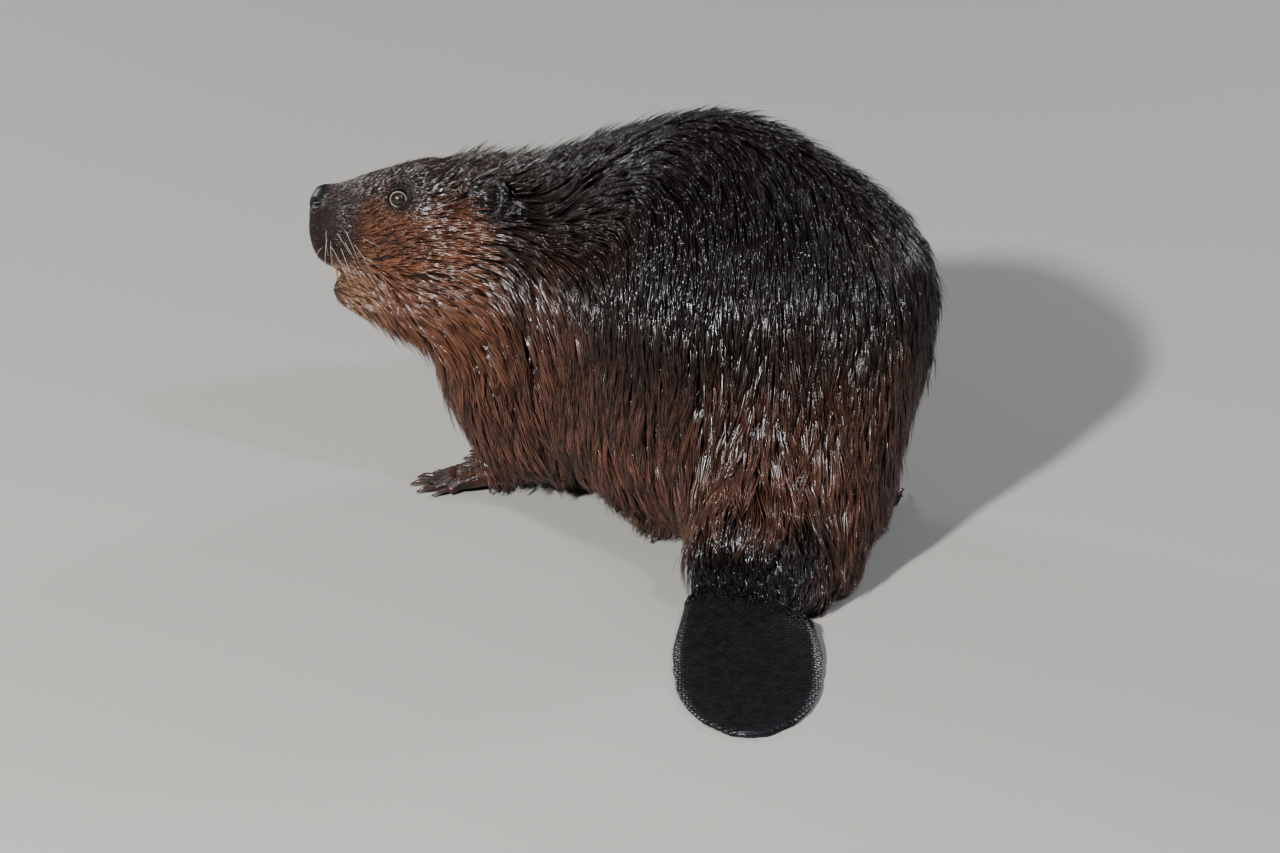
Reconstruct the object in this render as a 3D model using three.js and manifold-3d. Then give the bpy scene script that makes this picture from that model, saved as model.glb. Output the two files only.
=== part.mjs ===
// A North American beaver, life size, standing hunched on all fours with its flat tail laid on
// the ground behind it. The hindquarters face +Y, the body bends to the animal's left, and the
// head is turned to -X. Millimetres, +Z up, the origin on the ground under the middle of the box.
// The solids are the outer surface of the coat, cut into the parts that a person would name.

import * as THREE from "three";
import { mergeVertices } from "three/addons/utils/BufferGeometryUtils.js";
import Module from "manifold-3d";

const wasm = await Module();
wasm.setup();

// ---------------------------------------------------------------- driving dimensions

const GAP = 0.35; // between two parts that touch
const FAR = 700; // longer than anything in the model

const HEAD_AT = [-276, 128, 240]; // between the eyes
const HEAD_ROLL = 15; // degrees, the crown leaning away from -Y
const HEAD_PITCH = 2; // degrees, the nose up
const EYE_RADIUS = 7.5;
const EYE_AT = [-2, 28.5, -1.5]; // forward, left and up on the head
const EAR_AT = [-73, 50, 4];

const TAIL_AT = [-10, -92]; // where the paddle leaves the root, inside the coat
const TAIL_LENGTH = 222;
const TAIL_WIDTH = 113;
const TAIL_ROOT_THICK = 30;
const TAIL_THICK = 9;

const ANKLE = 26; // the height at which the coat of the legs ends above the feet

// Where the body is parted: a point on the cut, and the way across it.
const HEAD_CUT = [[-214, 128, 200], [-0.87, 0, 0.49]];
const NECK_CUT = [[-180, 128, 194], [-0.81, 0, 0.58]];
const TAIL_ROOT_CUT = [[0, -62, 0], [0, -0.94, -0.34]];
const TAIL_CUT = [[-2, -129, 0], [-0.36, -0.93, 0]];

// The lump of the body that each leg takes: its middle and its three radii.
const LEGS = {
  hindleg_left: [[-96, 40, 78], [62, 80, 92]],
  hindleg_right: [[86, 8, 78], [66, 86, 92]],
  foreleg_left: [[-182, 66, 76], [56, 42, 66]],
  foreleg_right: [[-150, 190, 76], [56, 44, 66]],
};

const BODY_CELL = 27; // the size of the facets on the trunk, neck and legs
const HEAD_CELL = 11;

// ---------------------------------------------------------------- vectors

const add = (a, b) => a.map((v, i) => v + b[i]);
const sub = (a, b) => a.map((v, i) => v - b[i]);
const scale = (a, s) => a.map((v) => v * s);
const dot = (a, b) => a[0] * b[0] + a[1] * b[1] + a[2] * b[2];
const unit = (a) => scale(a, 1 / Math.hypot(...a));
const cross = (a, b) => [
  a[1] * b[2] - a[2] * b[1],
  a[2] * b[0] - a[0] * b[2],
  a[0] * b[1] - a[1] * b[0],
];
const radians = THREE.MathUtils.degToRad;
const lerp = THREE.MathUtils.lerp;

// ---------------------------------------------------------------- fields
// A field is negative inside a form, zero on its surface and about the distance in mm outside.

const WORLD_AXES = [[1, 0, 0], [0, 1, 0], [0, 0, 1]];

// An ellipsoid whose three radii lie along the given axes.
function egg(at, radii, axes = WORLD_AXES) {
  return (p) => {
    const d = sub(p, at);
    const local = axes.map((axis) => dot(d, axis));
    const k0 = Math.hypot(...local.map((v, i) => v / radii[i]));
    const k1 = Math.hypot(...local.map((v, i) => v / radii[i] ** 2));
    return k1 < 1e-9 ? -Math.min(...radii) : (k0 * (k0 - 1)) / k1;
  };
}

// Two balls and the cone that wraps them.
function limb(a, ra, b, rb) {
  const ba = sub(b, a);
  const l2 = dot(ba, ba);
  const rr = ra - rb;
  const a2 = l2 - rr * rr;
  return (p) => {
    const pa = sub(p, a);
    const y = dot(pa, ba);
    const z = y - l2;
    const off = sub(scale(pa, l2), scale(ba, y));
    const x2 = dot(off, off);
    const y2 = y * y * l2;
    const z2 = z * z * l2;
    const k = Math.sign(rr) * rr * rr * x2;
    if (Math.sign(z) * a2 * z2 > k) return Math.sqrt(x2 + z2) / l2 - rb;
    if (Math.sign(y) * a2 * y2 < k) return Math.sqrt(x2 + y2) / l2 - ra;
    return (Math.sqrt((x2 * a2) / l2) + y * rr) / l2 - ra;
  };
}

// Joins forms with a fillet about as wide as each one's own blend.
function joined(forms) {
  return (p) =>
    forms.reduce((d, [form, blend]) => {
      const e = form(p);
      const h = Math.max(blend - Math.abs(d - e), 0) / blend;
      return Math.min(d, e) - (h * h * blend) / 4;
    }, FAR);
}

// ---------------------------------------------------------------- solids

// A closed geometry as a manifold-3d solid.
function solid(geometry) {
  const bare = geometry.clone();
  Object.keys(bare.attributes)
    .filter((name) => name !== "position")
    .forEach((name) => bare.deleteAttribute(name));
  const merged = mergeVertices(bare, 1e-3);
  return new wasm.Manifold(
    new wasm.Mesh({
      numProp: 3,
      vertProperties: merged.attributes.position.array,
      triVerts: new Uint32Array(merged.index.array),
    }),
  );
}

function geometryOf(made) {
  const { vertProperties, triVerts } = made.getMesh();
  return new THREE.BufferGeometry()
    .setAttribute("position", new THREE.BufferAttribute(vertProperties, 3))
    .setIndex(new THREE.BufferAttribute(triVerts, 1));
}

const CORNERS = [0, 1, 2, 3, 4, 5, 6, 7].map((c) => [c & 1, (c >> 1) & 1, c >> 2]);
const EDGES = CORNERS.flatMap((a, i) =>
  CORNERS.flatMap((b, j) =>
    j > i && a.filter((v, n) => v !== b[n]).length === 1 ? [[i, j]] : [],
  ),
);

// Inside corners of a cell that are joined through other inside corners share a label.
function labelled(isInside) {
  const label = CORNERS.map((_, i) => i);
  for (let pass = 0; pass < 4; pass++)
    for (const [a, b] of EDGES)
      if (isInside[a] && isInside[b]) label[a] = label[b] = Math.min(label[a], label[b]);
  return label;
}

// Where a cell's edges meet the surface, in cell widths: one mean place for each sheet of
// surface in the cell, and the edges that each sheet crosses.
function crossings(corner) {
  const isInside = corner.map((v) => v < 0);
  const label = labelled(isInside);
  const sheets = new Map();
  EDGES.forEach(([a, b], e) => {
    if (isInside[a] === isInside[b]) return;
    const t = corner[a] / (corner[a] - corner[b]);
    const hit = CORNERS[a].map((v, n) => v + t * (CORNERS[b][n] - v));
    const key = label[isInside[a] ? a : b];
    if (!sheets.has(key)) sheets.set(key, { hits: [], edges: [] });
    sheets.get(key).hits.push(hit);
    sheets.get(key).edges.push(e);
  });
  return [...sheets.values()].map(({ hits, edges }) => ({
    mean: scale(hits.reduce(add), 1 / hits.length),
    edges,
  }));
}

// Moves a point onto the surface of the field, without letting it leave its cell.
function settled(field, start, cellLow, cell) {
  let p = start;
  for (let pass = 0; pass < 3; pass++) {
    const d = field(p);
    const slope = WORLD_AXES.map((axis) => (field(add(p, scale(axis, 0.5))) - d) / 0.5);
    const steep = Math.max(dot(slope, slope), 0.25);
    p = p.map((v, n) => {
      const to = v - (slope[n] * d) / steep;
      return THREE.MathUtils.clamp(to, cellLow[n] + 0.02, cellLow[n] + cell - 0.02);
    });
  }
  return p;
}

// The surface of a field inside a box, as a net of four-sided meshes about one cell wide.
// Where the form runs out of the box, it is closed off there.
function wrapped(field, low, high, cell) {
  const count = low.map((v, i) => Math.ceil((high[i] - v) / cell) + 1);
  const [nx, ny, nz] = count;
  const index = (i, j, k) => (k * ny + j) * nx + i;
  const place = (cellIndex) => cellIndex.map((v, n) => low[n] + v * cell);
  const values = new Float64Array(nx * ny * nz);
  for (let k = 0; k < nz; k++)
    for (let j = 0; j < ny; j++)
      for (let i = 0; i < nx; i++) {
        const edge = [i, j, k].some((v, n) => v === 0 || v === count[n] - 1);
        const value = field(place([i, j, k]));
        values[index(i, j, k)] = edge ? Math.max(value, cell / 2) : value;
      }

  // One point for each sheet of surface in a cell, found again by the cell and its edge.
  const points = [];
  const pointOf = new Map();
  for (let k = 0; k < nz - 1; k++)
    for (let j = 0; j < ny - 1; j++)
      for (let i = 0; i < nx - 1; i++) {
        const corner = CORNERS.map((c) => values[index(i + c[0], j + c[1], k + c[2])]);
        const cellLow = place([i, j, k]);
        for (const { mean, edges } of crossings(corner)) {
          edges.forEach((e) => pointOf.set(index(i, j, k) * EDGES.length + e, points.length / 3));
          const raw = mean.map((v, n) => cellLow[n] + v * cell);
          points.push(...settled(field, raw, cellLow, cell));
        }
      }

  // Around each crossed edge of the grid, the four cells' points make one four-sided face.
  const faces = [];
  const around = (cellIndex, axis, flip) => {
    const [u, v] = [(axis + 1) % 3, (axis + 2) % 3];
    const ring = [[1, 1], [0, 1], [0, 0], [1, 0]].map(([du, dv]) => {
      const neighbour = [...cellIndex];
      neighbour[u] -= du;
      neighbour[v] -= dv;
      const edge = EDGES.findIndex(
        ([a, b]) =>
          CORNERS[b][axis] > CORNERS[a][axis] && CORNERS[a][u] === du && CORNERS[a][v] === dv,
      );
      return pointOf.get(index(...neighbour) * EDGES.length + edge);
    });
    const [a, b, c, d] = flip ? ring.reverse() : ring;
    faces.push(a, b, c, a, c, d);
  };
  for (let k = 0; k < nz - 1; k++)
    for (let j = 0; j < ny - 1; j++)
      for (let i = 0; i < nx - 1; i++) {
        const inside = values[index(i, j, k)] < 0;
        if (inside !== values[index(i + 1, j, k)] < 0) around([i, j, k], 0, !inside);
        if (inside !== values[index(i, j + 1, k)] < 0) around([i, j, k], 1, !inside);
        if (inside !== values[index(i, j, k + 1)] < 0) around([i, j, k], 2, !inside);
      }
  return solid(
    new THREE.BufferGeometry()
      .setAttribute("position", new THREE.Float32BufferAttribute(points, 3))
      .setIndex(faces),
  );
}

// Everything on the side of a plane that its normal points away from.
function behind(point, normal, shift = 0) {
  const n = unit(normal);
  const box = new THREE.BoxGeometry(2 * FAR, 2 * FAR, 2 * FAR);
  const turn = new THREE.Quaternion().setFromUnitVectors(
    new THREE.Vector3(0, 0, 1),
    new THREE.Vector3(...n),
  );
  return solid(box.applyQuaternion(turn).translate(...add(point, scale(n, shift - FAR))));
}

// A coarse ball stretched to three radii along the given axes.
function lump(at, radii, axes = WORLD_AXES, detail = 2) {
  const ball = new THREE.IcosahedronGeometry(1, detail).scale(...radii);
  const basis = new THREE.Matrix4().makeBasis(...axes.map((axis) => new THREE.Vector3(...axis)));
  return solid(ball.applyMatrix4(basis).translate(...at));
}

// A tapering tube along a path, oval across, with blunt ends; radii holds [across, up] pairs,
// where up is the way that the tube's top faces.
function tube(path, radii, sides, top = [0, 0, 1]) {
  const rings = path.map((at, i) => {
    const along = unit(sub(path[Math.min(i + 1, path.length - 1)], path[Math.max(i - 1, 0)]));
    const across = unit(cross(top, along));
    const up = cross(along, across);
    return Array.from({ length: sides }, (_, s) => {
      const angle = (2 * Math.PI * (s + 0.5)) / sides;
      const side = scale(across, radii[i][0] * Math.sin(angle));
      return add(at, add(side, scale(up, -radii[i][1] * Math.cos(angle))));
    });
  });
  const last = path.length - 1;
  const start = add(path[0], scale(unit(sub(path[0], path[1])), radii[0][1] / 2));
  const end = add(path[last], scale(unit(sub(path[last], path[last - 1])), radii[last][1] / 2));
  return capped(rings, start, end);
}

// A closed solid over rings of points, with a point past the first ring and past the last.
function capped(rings, start, end) {
  const sides = rings[0].length;
  const points = [...rings.flat(), start, end];
  const [startIndex, endIndex] = [points.length - 2, points.length - 1];
  const faces = [];
  for (let s = 0; s < sides; s++) {
    const next = (s + 1) % sides;
    for (let r = 0; r < rings.length - 1; r++) {
      const [a, b] = [r * sides + s, r * sides + next];
      faces.push(a, b, b + sides, a, b + sides, a + sides);
    }
    const lastRing = (rings.length - 1) * sides;
    faces.push(startIndex, next, s, endIndex, lastRing + s, lastRing + next);
  }
  return solid(
    new THREE.BufferGeometry()
      .setAttribute("position", new THREE.Float32BufferAttribute(points.flat(), 3))
      .setIndex(faces),
  );
}

const union = (solids) => solids.reduce((all, next) => all.add(next));

// ---------------------------------------------------------------- the head's own frame

const roll = radians(HEAD_ROLL);
const pitch = radians(HEAD_PITCH);
const LEFT = [0, -Math.cos(roll), Math.sin(roll)];
const FORWARD = unit([-1, Math.tan(pitch) * Math.sin(roll), Math.tan(pitch) * Math.cos(roll)]);
const UP = cross(FORWARD, LEFT);
const HEAD_AXES = [FORWARD, LEFT, UP];
const headWay = ([forward, left, up]) =>
  add(scale(FORWARD, forward), add(scale(LEFT, left), scale(UP, up)));
const onHead = (at) => add(HEAD_AT, headWay(at));
const headEgg = (at, radii) => egg(onHead(at), radii, HEAD_AXES);
const headLimb = (a, ra, b, rb) => limb(onHead(a), ra, onHead(b), rb);

// ---------------------------------------------------------------- the forms of the body
// Each form is followed by how widely it blends into the ones before it.

const trunkForms = [
  [egg([4, 34, 154], [120, 102, 124]), 40], // rump
  [egg([56, 66, 180], [88, 90, 96]), 40], // right flank, on the outside of the bend
  [egg([-34, 84, 200], [116, 112, 123]), 40], // loin, the top of the arch
  [egg([-100, 122, 165], [100, 98, 110]), 45], // ribs
  [egg([-70, 85, 92], [95, 80, 62]), 40], // belly
  [egg([-172, 100, 120], [62, 48, 82]), 35], // left shoulder
  [egg([-165, 152, 120], [60, 46, 80]), 35], // right shoulder
  [limb([-212, 122, 150], 46, [-194, 120, 88], 50), 35], // chest
];
const hindLegForms = [
  [egg([-74, 48, 82], [58, 78, 76]), 35], // left thigh
  [egg([60, 8, 82], [50, 86, 78]), 35], // right thigh
  [limb([-84, 36, 48], 36, [-75, 20, 24], 22), 18],
  [limb([62, -26, 48], 36, [60, -44, 24], 22), 18],
];
const foreLegForms = [
  [limb([-165, 84, 84], 40, [-158, 86, 56], 34), 25],
  [limb([-158, 86, 56], 32, [-196, 98, 27], 18), 20],
  [limb([-150, 160, 84], 38, [-130, 158, 56], 32), 25],
  [limb([-130, 158, 56], 30, [-156, 152, 27], 18), 20],
];
const tailRootForms = [
  [limb([0, -10, 84], 68, [-8, -118, 26], 42), 40],
  [limb([40, -40, 60], 42, [38, -96, 20], 26), 30], // long hair beside the tail
];
const neckForms = [[limb(onHead([-76, 0, -31]), 58, [-120, 128, 172], 86), 30]];
const headForms = [
  [headEgg([-52, 0, -16], [62, 48, 48]), 20], // cranium
  [headEgg([-5, 0, -16], [48, 31, 34]), 18], // brow
  [headLimb([5, 0, -20], 29, [40, 0, -21], 25), 14], // snout
  [headEgg([42, 0, -35], [25, 25, 27]), 12], // muzzle and upper lip
  [headEgg([56, 0, -9], [11, 14, 12]), 8], // nose pad
  [headEgg([16, 0, -50], [26, 29, 24]), 14], // corner of the mouth
  [headEgg([-32, 24, -46], [48, 30, 44]), 20], // cheeks
  [headEgg([-32, -24, -46], [48, 30, 44]), 20],
  [headLimb([-15, 0, -79], 30, [34, 0, -79], 15), 12], // jaw
  [headEgg([-55, 0, -76], [58, 46, 46]), 25], // throat
];
const body = joined([
  ...trunkForms,
  ...hindLegForms,
  ...foreLegForms,
  ...tailRootForms,
  ...neckForms,
  ...headForms,
]);

// ---------------------------------------------------------------- feet

// A place on the ground, as a way to turn its forward, left and up into the model's axes.
function standing([x, y], heading) {
  const [c, s] = [Math.cos(radians(heading)), Math.sin(radians(heading))];
  return ([forward, left, up]) => [x + c * forward - s * left, y + s * forward + c * left, up];
}

// Where five toes end that fan out from one point ahead of the heel.
function toeTips(root, lengths, spread) {
  return lengths.map((length, i) => {
    const angle = radians(lerp(-spread, spread, i / (lengths.length - 1)));
    return [root + length * Math.cos(angle), length * Math.sin(angle)];
  });
}

const hindTips = toeTips(40, [92, 112, 120, 114, 94], 26);
const foreTips = toeTips(20, [26, 34, 38, 35, 27], 34);

// A webbed foot: a sole, five toes and the web between them.
function hindFoot(place) {
  const sole = tube(
    [[0, 0, 13], [30, 0, 14], [62, 0, 12], [88, 0, 9]].map(place),
    [[15, 13], [18, 14], [30, 12], [36, 8]],
    9,
  );
  const toes = hindTips.map(([x, y]) =>
    tube(
      [[60, y * 0.3, 9], [lerp(60, x, 0.55), y * 0.68, 9], [x, y, 5.5]].map(place),
      [[8, 8], [7, 8], [6, 5]],
      5,
    ),
  );
  const notches = hindTips.slice(1).map(([x, y], i) => {
    const [beforeX, beforeY] = hindTips[i];
    return [(x + beforeX) / 2 - 20, (y + beforeY) / 2];
  });
  const edge = hindTips.flatMap(([x, y], i) => [[x - 8, y], ...notches.slice(i, i + 1)]);
  const web = new THREE.Shape([[45, -14], ...edge, [45, 14]].map((at) => new THREE.Vector2(...at)));
  const sheet = new THREE.ExtrudeGeometry(web, { depth: 4, bevelEnabled: false });
  const at = sheet.attributes.position;
  for (let i = 0; i < at.count; i++)
    at.setXYZ(i, ...place([at.getX(i), at.getY(i), at.getZ(i) + 1]));
  return union([sole, ...toes, solid(sheet)]).intersect(ground);
}

// A hand: a palm that rises to the wrist, and five short fingers.
function foreFoot(place) {
  const palm = tube(
    [[-8, 0, 21], [12, 0, 14], [32, 0, 9]].map(place),
    [[13, 11], [15, 12], [17, 8]],
    8,
  );
  const fingers = foreTips.map(([x, y]) =>
    tube(
      [[26, y * 0.35, 8], [lerp(26, x, 0.5), y * 0.7, 9], [x, y, 4.5]].map(place),
      [[5.5, 7], [5, 6], [4.2, 4]],
      5,
    ),
  );
  return union([palm, ...fingers]).intersect(ground);
}

// A claw that carries on from a toe's tip and curves down to a point.
function claw(place, [x, y], tipRadius, size) {
  const turn = Math.atan2(y, x);
  const start = tipRadius / 2 + GAP;
  const at = (ahead, up) => {
    const reach = start + size * ahead;
    return place([x + reach * Math.cos(turn), y + reach * Math.sin(turn), up]);
  };
  return tube([at(0.12, 5), at(0.55, 5.2), at(0.95, 2.2)], [[2.5, 2.7], [2, 2.2], [0.8, 0.9]], 5);
}

// ---------------------------------------------------------------- the tail

// The paddle: flat below, gently domed above, widest past its middle, round at its tip.
function paddle() {
  const steps = 13;
  const sides = 12;
  const rings = Array.from({ length: steps }, (_, i) => {
    const t = (i / (steps - 1)) * 0.985;
    const widening = Math.min(1, 0.76 + 0.6 * t);
    const rounding = Math.sqrt(1 - Math.max((t - 0.5) / 0.5, 0) ** 2.4);
    const half = (TAIL_WIDTH / 2) * widening * rounding;
    const thick = lerp(TAIL_ROOT_THICK, TAIL_THICK, Math.min(1, t * 1.6)) * lerp(0.5, 1, rounding);
    return Array.from({ length: sides }, (_, s) => {
      const angle = (2 * Math.PI * s) / sides;
      const up = thick * (0.3 + (Math.cos(angle) > 0 ? 0.7 : 0.4) * Math.cos(angle));
      return onTail([-half * Math.sin(angle), TAIL_LENGTH * t, up]);
    });
  });
  return capped(rings, onTail([0, -3, 12]), onTail([0, TAIL_LENGTH, 2])).intersect(ground);
}

const onTail = ([x, along, up]) => [TAIL_AT[0] + x, TAIL_AT[1] - along, up];

// ---------------------------------------------------------------- eyes, ears and teeth

const onSide = (side, [forward, left, up]) => onHead([forward, side * left, up]);

function eyeball(side, grow) {
  return lump(onSide(side, EYE_AT), Array(3).fill(EYE_RADIUS + grow), HEAD_AXES);
}

// An ear's own axes: out of its dish, across it and up it.
function earAxes(side) {
  const out = unit(headWay([0.5, side * 0.82, 0.25]));
  const across = unit(cross(UP, out));
  return [out, across, cross(out, across)];
}

const earShell = (side, grow) =>
  lump(onSide(side, EAR_AT), [4.5, 12.5, 17].map((radius) => radius + grow), earAxes(side));

function ear(side) {
  const axes = earAxes(side);
  const dishAt = add(onSide(side, EAR_AT), scale(axes[0], 4));
  return earShell(side, 0).subtract(lump(dishAt, [4.5, 10, 14], axes, 1));
}

// A pair of front teeth side by side in one piece, from the gum to the edge that bites.
function teeth([forward, heights], grow) {
  const lean = [0, 3, 1];
  const thick = [3.1, 2.7, 1.2];
  const tooth = (side) =>
    tube(
      heights.map((up, i) => onHead([forward + lean[i], side * 2.9, up])),
      thick.map((up) => [3.1 + grow, up + grow]),
      6,
      FORWARD,
    );
  return tooth(1).add(tooth(-1));
}
const UPPER_TEETH = [44, [-52, -60, -68]]; // forward on the head, heights up it
const LOWER_TEETH = [37, [-76, -71, -66]];

// ---------------------------------------------------------------- materials

const finish = (color, roughness) =>
  new THREE.MeshStandardMaterial({ color, roughness, metalness: 0 });
const backFur = finish(0x1e1512, 0.45);
const flankFur = finish(0x2e1a12, 0.5);
const cheekFur = finish(0x6e3a1e, 0.55);
const footSkin = finish(0x1a1210, 0.4);
const tailSkin = finish(0x15151a, 0.35);
const wetEye = finish(0x0c0706, 0.05);
const enamel = finish(0xb8641c, 0.3);
const horn = finish(0x2a201a, 0.35);

// ---------------------------------------------------------------- the model

const group = new THREE.Group();

function part(name, made, material) {
  const mesh = new THREE.Mesh(geometryOf(made), material);
  mesh.name = name;
  group.add(mesh);
}

const ground = behind([0, 0, 0], [0, 0, -1]);
const torso = wrapped(body, [-262, -180, -30], [180, 270, 370], BODY_CELL);
const face = wrapped(body, [-370, 30, 100], [-170, 240, 330], HEAD_CELL);

// What a cut leaves on the near side and on the far side of it, with the gap between them.
const parted = (made, [point, across]) => [
  made.intersect(behind(point, across, -GAP / 2)),
  made.intersect(behind(point, scale(across, -1), -GAP / 2)),
];

// The head, less all of it that lies below the mouth and ahead of the throat: the jaw.
const jawRoom = (grow) =>
  behind(onHead([42, 0, -63]), headWay([-0.2, 0, 0.98]), grow).intersect(
    behind(onHead([-28, 0, -80]), headWay([-1, 0, 0]), grow),
  );
const mouth = lump(onHead([50, 0, -64]), [14, 11, 4.5], HEAD_AXES, 1);
const earSlots = earShell(1, GAP).add(earShell(-1, GAP));
const skull = parted(face, HEAD_CUT)[1].subtract(mouth).subtract(teeth(UPPER_TEETH, GAP));
const upperHead = skull
  .subtract(jawRoom(GAP))
  .subtract(eyeball(1, GAP))
  .subtract(eyeball(-1, GAP))
  .subtract(earSlots);
part("head", upperHead, cheekFur);
part("jaw", skull.intersect(jawRoom(0)).subtract(teeth(LOWER_TEETH, GAP)), cheekFur);
part("incisors_upper", teeth(UPPER_TEETH, 0), enamel);
part("incisors_lower", teeth(LOWER_TEETH, 0).subtract(teeth(UPPER_TEETH, GAP)), enamel);
Object.entries({ left: 1, right: -1 }).forEach(([name, side]) => {
  part(`eye_${name}`, eyeball(side, 0), wetEye);
  part(`ear_${name}`, ear(side), footSkin);
});

// Neck, tail root and tail.
const [behindNeck, aheadOfShoulders] = parted(torso, NECK_CUT);
part("neck", parted(aheadOfShoulders, HEAD_CUT)[0].subtract(earSlots), flankFur);
const [aheadOfTail, rootAndOn] = parted(behindNeck, TAIL_ROOT_CUT);
part("tail_root", parted(rootAndOn.intersect(ground), TAIL_CUT)[0], flankFur);
part("tail", parted(paddle(), TAIL_CUT)[1], tailSkin);

// The legs are lifted out of the body, and what is left is the trunk.
let trunk = aheadOfTail.intersect(behind([0, 0, ANKLE + GAP], [0, 0, -1]));
Object.entries(LEGS).forEach(([name, [at, radii]]) => {
  part(name, trunk.intersect(lump(at, radii, WORLD_AXES, 1)), flankFur);
  trunk = trunk.subtract(lump(at, radii.map((radius) => radius + 2 * GAP), WORLD_AXES, 1));
});
part("trunk", trunk, backFur);

// Each foot: where its heel or wrist stands and which way it points, then its make.
const HIND = { foot: hindFoot, tips: hindTips, tipRadius: 5, clawSize: 15 };
const FORE = { foot: foreFoot, tips: foreTips, tipRadius: 4, clawSize: 13 };
const FEET = {
  hindfoot_left: [standing([-72, 12], 104), HIND],
  hindfoot_right: [standing([60, -44], 86), HIND],
  forefoot_left: [standing([-196, 102], 182), FORE],
  forefoot_right: [standing([-156, 152], 186), FORE],
};
const underAnkle = behind([0, 0, ANKLE], [0, 0, 1]);
Object.entries(FEET).forEach(([name, [place, { foot, tips, tipRadius, clawSize }]]) => {
  part(name, foot(place).intersect(underAnkle), footSkin);
  tips.forEach((tip, i) =>
    part(`claw_${name}_${i + 1}`, claw(place, tip, tipRadius, clawSize), horn),
  );
});

// The origin goes to the ground under the middle of the box.
const middle = new THREE.Box3().setFromObject(group).getCenter(new THREE.Vector3());
group.position.set(-middle.x, -middle.y, 0);

export default group;
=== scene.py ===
"""A wet North American beaver, life size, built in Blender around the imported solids.

One skin is made from the solids of flesh and drawn in by the depth of the coat. The coat is made
of thin solid blades. They are rooted on the skin and on the tail's first scales, lie along the
body and run together into wet locks. The tail is scaled, and the feet, nose and lids are bare
skin. The eyes, lid rims, teeth, claws and whiskers are pieces of their own. Everything is in
metres, in the frame of the solids, unless a comment says otherwise.
"""

import math

import bmesh
import bpy
import numpy as np
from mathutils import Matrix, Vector
from mathutils.bvhtree import BVHTree
from mathutils.kdtree import KDTree


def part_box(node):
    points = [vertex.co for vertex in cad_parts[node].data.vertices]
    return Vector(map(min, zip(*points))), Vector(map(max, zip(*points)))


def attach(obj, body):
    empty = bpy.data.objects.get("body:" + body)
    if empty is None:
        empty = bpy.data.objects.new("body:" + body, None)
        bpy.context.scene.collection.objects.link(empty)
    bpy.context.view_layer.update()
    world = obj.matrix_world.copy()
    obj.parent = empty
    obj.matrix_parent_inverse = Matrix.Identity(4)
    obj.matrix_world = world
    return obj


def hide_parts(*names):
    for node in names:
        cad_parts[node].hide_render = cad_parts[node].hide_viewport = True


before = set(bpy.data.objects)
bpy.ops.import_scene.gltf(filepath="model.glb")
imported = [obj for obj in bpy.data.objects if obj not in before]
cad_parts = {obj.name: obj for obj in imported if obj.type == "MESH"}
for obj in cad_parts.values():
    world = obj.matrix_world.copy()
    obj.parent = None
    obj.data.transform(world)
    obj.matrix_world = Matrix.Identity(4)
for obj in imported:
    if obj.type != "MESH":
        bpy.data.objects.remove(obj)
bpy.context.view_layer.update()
rng = np.random.default_rng(7)
MM = 0.001
SIDES = ("left", "right")

# ---- places on the animal


def unit(v):
    """Vectors of length one, along the last axis."""
    v = np.asarray(v, float)
    return v / np.maximum(np.linalg.norm(v, axis=-1, keepdims=True), 1e-12)


def norm(v):
    """How long each row is."""
    return np.linalg.norm(v, axis=1)


def middle(node):
    """The middle of a solid's box."""
    low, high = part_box(node)
    return (np.array(low) + np.array(high)) / 2


HEAD_PITCH = math.radians(2)
EYE_ON_HEAD = np.array([-2, 28.5, -1.5]) * MM  # forward, left and up from between the brows

eye_at = {side: middle(f"eye_{side}") for side in SIDES}
LEFT = unit(eye_at["left"] - eye_at["right"])
FORWARD = unit(np.array([-1, 0, 0]) - LEFT * np.dot(LEFT, [-1, 0, 0]))
UP = np.cross(FORWARD, LEFT)
FORWARD = unit(FORWARD + math.tan(HEAD_PITCH) * UP)
UP = np.cross(FORWARD, LEFT)
HEAD_AXES = np.array([FORWARD, LEFT, UP])
HEAD_AT = (eye_at["left"] + eye_at["right"]) / 2 - FORWARD * EYE_ON_HEAD[0] - UP * EYE_ON_HEAD[2]


def on_head(forward, left, up):
    """A place given in millimetres forward, left and up on the head."""
    return HEAD_AT + (np.array([forward, left, up]) * MM) @ HEAD_AXES


def by_head(points):
    """Points as millimetres forward, left and up on the head."""
    return (points - HEAD_AT) @ HEAD_AXES.T / MM


def on_side(way, side):
    """A way given as forward, left and up on the head, or its mirror image on the right."""
    forward, left, up = way
    return unit(np.array([forward, left if side == "left" else -left, up]) @ HEAD_AXES)


def from_eyes(points):
    """How far each point lies from the middle of the nearer eye, in metres."""
    return np.min([norm(points - at) for at in eye_at.values()], axis=0)


WAVES = 6  # how many crossed waves make up an uneven value


def uneven(points, scale, seed):
    """A smooth random value over space, mostly between -1 and 1."""
    local = np.random.default_rng(seed)
    ways = unit(local.normal(size=(WAVES, 3)))
    phase = local.random(WAVES) * 2 * math.pi
    pace = local.uniform(0.6, 1.6, WAVES)
    return np.sin(points @ ways.T / scale * pace * 2 * math.pi + phase).mean(1) * 1.6


def ramp(low, high, x):
    """Nothing at low, one at high, and a smooth rise between; low may be the greater."""
    t = np.clip((x - low) / (high - low), 0, 1)
    return t * t * (3 - 2 * t)


# The tail's box places the sketch of the body in the frame of the solids.
TAIL_BOX = [np.array(corner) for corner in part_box("tail")]
TAIL_X = (TAIL_BOX[0][0] + TAIL_BOX[1][0]) / 2
TAIL_WIDTH = 113 * MM
TAIL_TIP_ON_SKETCH = np.array([-10, -314, 0])
SKETCH = np.array([TAIL_X / MM, TAIL_BOX[0][1] / MM, 0]) - TAIL_TIP_ON_SKETCH


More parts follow.
